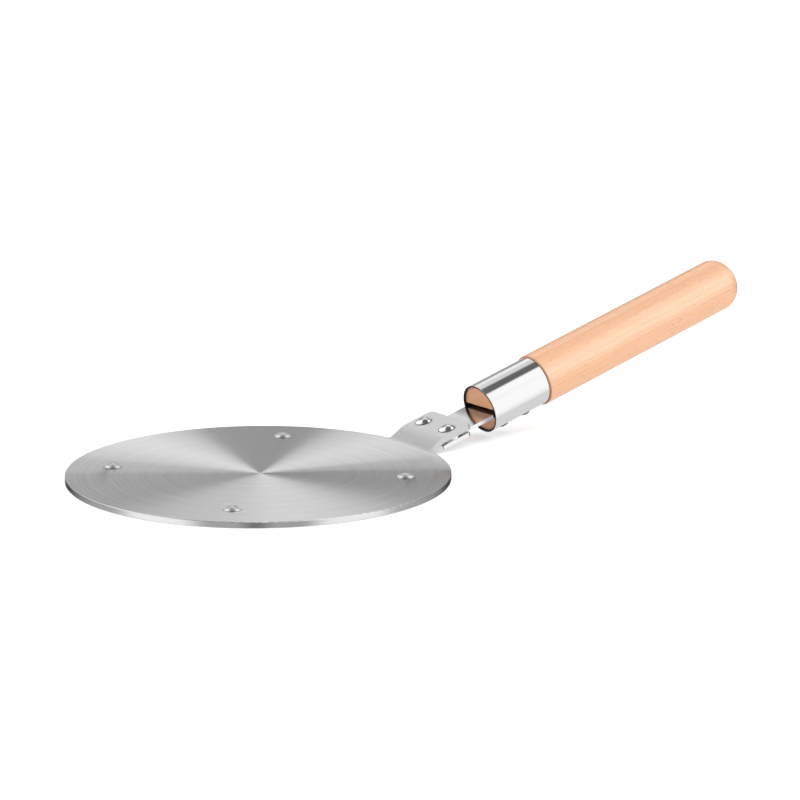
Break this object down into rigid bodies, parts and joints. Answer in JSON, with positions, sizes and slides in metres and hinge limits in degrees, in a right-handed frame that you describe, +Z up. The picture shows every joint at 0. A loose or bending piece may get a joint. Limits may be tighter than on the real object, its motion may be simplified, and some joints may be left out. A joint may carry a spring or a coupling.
{
  "type": "pizza peel",
  "caption": "Round flat steel plate whose bent-up rim tab is riveted to a tongue, carried by a rising round wooden handle with a steel ferrule.",
  "frame": {"origin": "centre of the plate's flat underside, on the surface it rests on", "axes": "+Z up out of the plate; +X from the plate's centre along the handle, which also rises; +Y to the left of someone looking along the handle from the plate"},
  "size_m": [0.4243, 0.2, 0.0764],
  "materials": {
    "plate_steel": "spun in fine circles about the plate's centre, rim polished",
    "tongue_steel": "bright rolled strip",
    "rivet_steel": "polished",
    "ferrule_steel": "mirror polished",
    "beech": "sanded and clear satin varnished",
    "screw_steel": "bright plated"
  },
  "bodies": {
    "root": {"plate": "plate_steel", "handle_tongue": "tongue_steel", "tab_spacer_left": "tongue_steel", "tab_spacer_right": "tongue_steel", "tab_rivet_left": "rivet_steel", "tab_rivet_right": "rivet_steel", "plate_rivet_handle_left": "rivet_steel", "plate_rivet_handle_right": "rivet_steel", "plate_rivet_far_left": "rivet_steel", "plate_rivet_far_right": "rivet_steel", "ferrule": "ferrule_steel", "wooden_handle": "beech", "handle_screw_front": "screw_steel", "handle_screw_rear": "screw_steel"}
  },
  "joints": []
}
